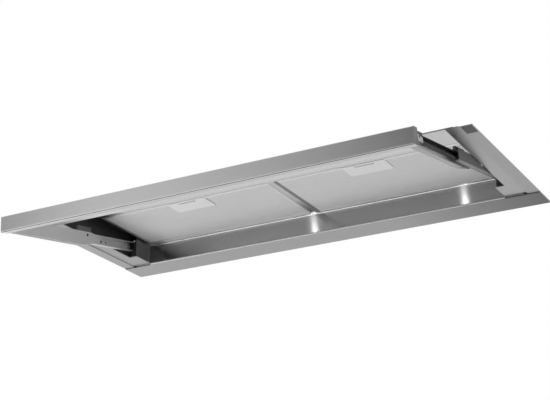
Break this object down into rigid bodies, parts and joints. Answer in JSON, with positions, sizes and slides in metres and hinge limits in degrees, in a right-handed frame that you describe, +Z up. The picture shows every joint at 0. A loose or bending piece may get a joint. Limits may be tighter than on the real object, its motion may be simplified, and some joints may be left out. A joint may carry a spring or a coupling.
{
  "type": "pull out range hood",
  "caption": "Built-in pull out range hood: brushed steel frame under a cabinet, mesh filters, and a visor on slides that draws out and tilts down.",
  "frame": {"origin": "on the top bearing face of the frame's rear flange, in the middle of its width", "axes": "+X across the cabinet to the right as seen from the cook, +Y to the wall, +Z up into the cabinet"},
  "size_m": [0.898, 0.4953, 0.2051],
  "materials": {
    "brushed_steel": "satin, brushed along its length",
    "fascia_steel": "satin, brushed along the bar",
    "visor_steel": "satin",
    "bright_steel": "bright, finely brushed",
    "handle_steel": "bright satin",
    "rail_steel": "zinc plated",
    "dark_steel": "black, textured",
    "zinc_sheet": "zinc coated sheet, grey",
    "black_paint": "matt black",
    "hardware_steel": "zinc plated",
    "filter_aluminium": "satin anodised",
    "filter_mesh": "expanded mesh, satin",
    "grey_plastic": "matt",
    "black_plastic": "matt, fine grain",
    "lens": "frosted"
  },
  "bodies": {
    "root": {"base_frame": "brushed_steel", "rear_trim": "brushed_steel", "side_panel_left": "brushed_steel", "side_panel_right": "brushed_steel", "corner_caps": "grey_plastic", "rear_recess_wall": "bright_steel", "side_channel_left": "black_paint", "side_channel_right": "black_paint", "ceiling_front_panel": "bright_steel", "divider_rail": "filter_aluminium", "plenum_housing": "zinc_sheet", "rear_wall": "zinc_sheet", "wing_left": "zinc_sheet", "wing_right": "zinc_sheet", "blower_cover": "zinc_sheet", "blower_scroll": "zinc_sheet", "blower_motor": "dark_steel", "outlet_elbow": "zinc_sheet", "duct_collar": "black_plastic", "damper_pins": "hardware_steel", "control_box": "black_plastic", "cable_gland": "black_plastic", "pivot_bracket_left": "black_paint", "pivot_bracket_right": "black_paint", "pivot_pins": "hardware_steel", "bracket_screws": "hardware_steel", "filter_hinge_rod": "hardware_steel", "control_panel": "black_plastic", "visor_switch": "black_plastic"},
    "slide_arms": {"outer_rail_left": "rail_steel", "outer_rail_right": "rail_steel"},
    "ball_cages": {"ball_cage_left": "hardware_steel", "ball_cage_right": "hardware_steel"},
    "visor": {"inner_rail_left": "dark_steel", "inner_rail_right": "dark_steel", "rail_mounts": "grey_plastic", "fascia": "fascia_steel", "fascia_back": "brushed_steel", "lamp_panel": "brushed_steel", "side_plate_left": "visor_steel", "side_plate_right": "visor_steel", "stop_blocks": "grey_plastic", "plate_screws": "hardware_steel", "lamp_rings": "bright_steel", "lamp_lenses": "lens"},
    "filter_left": {"filter_frame_left": "filter_aluminium", "filter_mesh_left": "filter_mesh", "handle_left": "handle_steel"},
    "filter_right": {"filter_frame_right": "filter_aluminium", "filter_mesh_right": "filter_mesh", "handle_right": "handle_steel"},
    "latch_left": {"latch_left": "bright_steel"},
    "latch_right": {"latch_right": "bright_steel"},
    "impeller": {"impeller": "black_plastic"},
    "damper_front": {"damper_front": "grey_plastic"},
    "damper_rear": {"damper_rear": "grey_plastic"},
    "button_1": {"button_1": "grey_plastic"},
    "button_2": {"button_2": "grey_plastic"},
    "button_3": {"button_3": "grey_plastic"},
    "button_4": {"button_4": "grey_plastic"}
  },
  "joints": [
    {"name": "visor_tilt", "type": "hinge", "parent": "root", "child": "slide_arms", "pos_m": [0, -0.1048, 0.0195], "axis": [-1, 0, 0], "range_deg": [0, 11]},
    {"name": "visor_slide", "type": "slide", "parent": "slide_arms", "child": "visor", "axis": [0, 0.9816, 0.1908], "range_m": [0, 0.1285]},
    {"name": "cage_slide", "type": "slide", "parent": "slide_arms", "child": "ball_cages", "axis": [0, 0.9816, 0.1908], "range_m": [0, 0.06425]},
    {"name": "filter_left_drop", "type": "hinge", "parent": "root", "child": "filter_left", "pos_m": [0, -0.0504, 0.0425], "axis": [1, 0, 0], "range_deg": [0, 75]},
    {"name": "filter_right_drop", "type": "hinge", "parent": "root", "child": "filter_right", "pos_m": [0, -0.0504, 0.0425], "axis": [1, 0, 0], "range_deg": [0, 75]},
    {"name": "latch_left_slide", "type": "slide", "parent": "filter_left", "child": "latch_left", "axis": [0, 1, 0], "range_m": [0, 0.003], "stiffness_N_per_m": 300, "springref_m": -0.002},
    {"name": "latch_right_slide", "type": "slide", "parent": "filter_right", "child": "latch_right", "axis": [0, 1, 0], "range_m": [0, 0.003], "stiffness_N_per_m": 300, "springref_m": -0.002},
    {"name": "button_1_press", "type": "slide", "parent": "root", "child": "button_1", "axis": [0, 0, 1], "range_m": [0, 0.0015], "stiffness_N_per_m": 300, "springref_m": -0.002},
    {"name": "button_2_press", "type": "slide", "parent": "root", "child": "button_2", "axis": [0, 0, 1], "range_m": [0, 0.0015], "stiffness_N_per_m": 300, "springref_m": -0.002},
    {"name": "button_3_press", "type": "slide", "parent": "root", "child": "button_3", "axis": [0, 0, 1], "range_m": [0, 0.0015], "stiffness_N_per_m": 300, "springref_m": -0.002},
    {"name": "button_4_press", "type": "slide", "parent": "root", "child": "button_4", "axis": [0, 0, 1], "range_m": [0, 0.0015], "stiffness_N_per_m": 300, "springref_m": -0.002},
    {"name": "impeller_spin", "type": "hinge", "parent": "root", "child": "impeller", "pos_m": [0.06, -0.0968, 0.0785], "axis": [0, 0, 1], "continuous": true},
    {"name": "damper_front_swing", "type": "hinge", "parent": "root", "child": "damper_front", "pos_m": [-0.154, -0.0782, 0.1173], "axis": [-1, 0, 0], "range_deg": [0, 75]},
    {"name": "damper_rear_swing", "type": "hinge", "parent": "root", "child": "damper_rear", "pos_m": [-0.154, -0.0714, 0.1173], "axis": [1, 0, 0], "range_deg": [0, 75]}
  ],
  "couplings": [
    {"joint": "cage_slide", "follows": "visor_slide", "ratio": 0.5}
  ]
}
